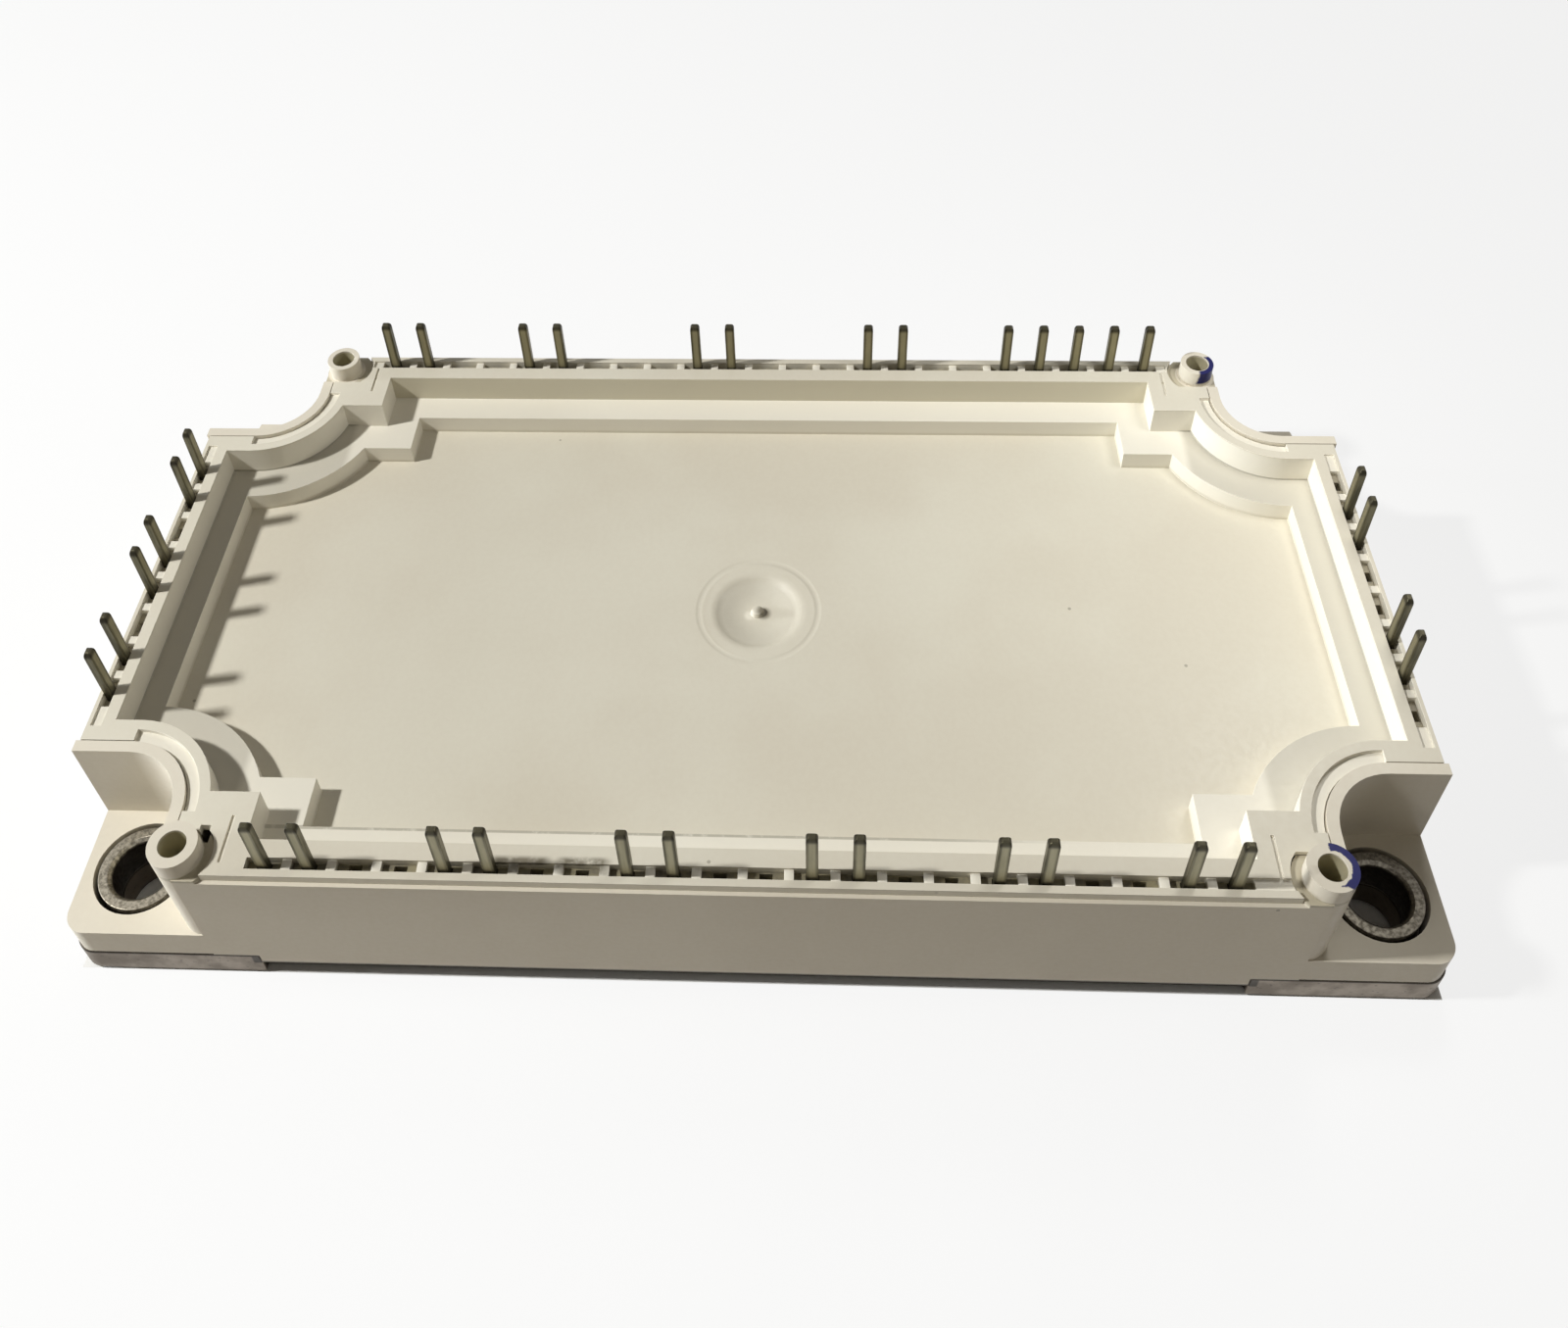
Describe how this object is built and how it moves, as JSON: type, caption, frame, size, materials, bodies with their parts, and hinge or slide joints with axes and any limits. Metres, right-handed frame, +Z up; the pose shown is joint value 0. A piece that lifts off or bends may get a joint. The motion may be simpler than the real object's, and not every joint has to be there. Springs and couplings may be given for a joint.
{
  "type": "IGBT module",
  "caption": "Flat power semiconductor module: ivory frame and tray lid on a metal base, solder pins round the rim, screw ears and board towers at the corners.",
  "frame": {"origin": "centre of the base plate's underside", "axes": "+X along the length, +Y towards the row with more pins, +Z up out of the pins' side"},
  "size_m": [0.121, 0.062, 0.0233],
  "materials": {
    "frame_plastic": "moulded, satin",
    "lid_plastic": "moulded, satin",
    "base_metal": "nickel-plated copper, dull",
    "bush_metal": "rough plated",
    "tinned_pin": "dull tin",
    "adhesive": "cured",
    "copper": "bare copper",
    "substrate_ceramic": "fired",
    "solder": "reflowed",
    "chip": "metallised",
    "sensor": "coated",
    "ribbon": "bright"
  },
  "bodies": {
    "root": {"base_plate": "base_metal", "adhesive_bead": "adhesive", "housing_frame": "frame_plastic", "lid": "lid_plastic", "bush_1": "bush_metal", "bush_2": "bush_metal", "bush_3": "bush_metal", "bush_4": "bush_metal", "pin_front_1": "tinned_pin", "pin_front_2": "tinned_pin", "pin_front_3": "tinned_pin", "pin_front_4": "tinned_pin", "pin_front_5": "tinned_pin", "pin_front_6": "tinned_pin", "pin_front_7": "tinned_pin", "pin_front_8": "tinned_pin", "pin_front_9": "tinned_pin", "pin_front_10": "tinned_pin", "pin_front_11": "tinned_pin", "pin_front_12": "tinned_pin", "pin_back_1": "tinned_pin", "pin_back_2": "tinned_pin", "pin_back_3": "tinned_pin", "pin_back_4": "tinned_pin", "pin_back_5": "tinned_pin", "pin_back_6": "tinned_pin", "pin_back_7": "tinned_pin", "pin_back_8": "tinned_pin", "pin_back_9": "tinned_pin", "pin_back_10": "tinned_pin", "pin_back_11": "tinned_pin", "pin_back_12": "tinned_pin", "pin_back_13": "tinned_pin", "pin_left_1": "tinned_pin", "pin_left_2": "tinned_pin", "pin_left_3": "tinned_pin", "pin_left_4": "tinned_pin", "pin_left_5": "tinned_pin", "pin_left_6": "tinned_pin", "pin_right_1": "tinned_pin", "pin_right_2": "tinned_pin", "pin_right_3": "tinned_pin", "pin_right_4": "tinned_pin", "substrate_solder": "solder", "bottom_copper_1": "copper", "bottom_copper_2": "copper", "bottom_copper_3": "copper", "ceramic_1": "substrate_ceramic", "ceramic_2": "substrate_ceramic", "ceramic_3": "substrate_ceramic", "top_copper_1": "copper", "top_copper_2": "copper", "top_copper_3": "copper", "igbt_chips": "chip", "diode_chips": "chip", "temperature_sensor": "sensor", "bond_ribbons": "ribbon"}
  },
  "joints": []
}
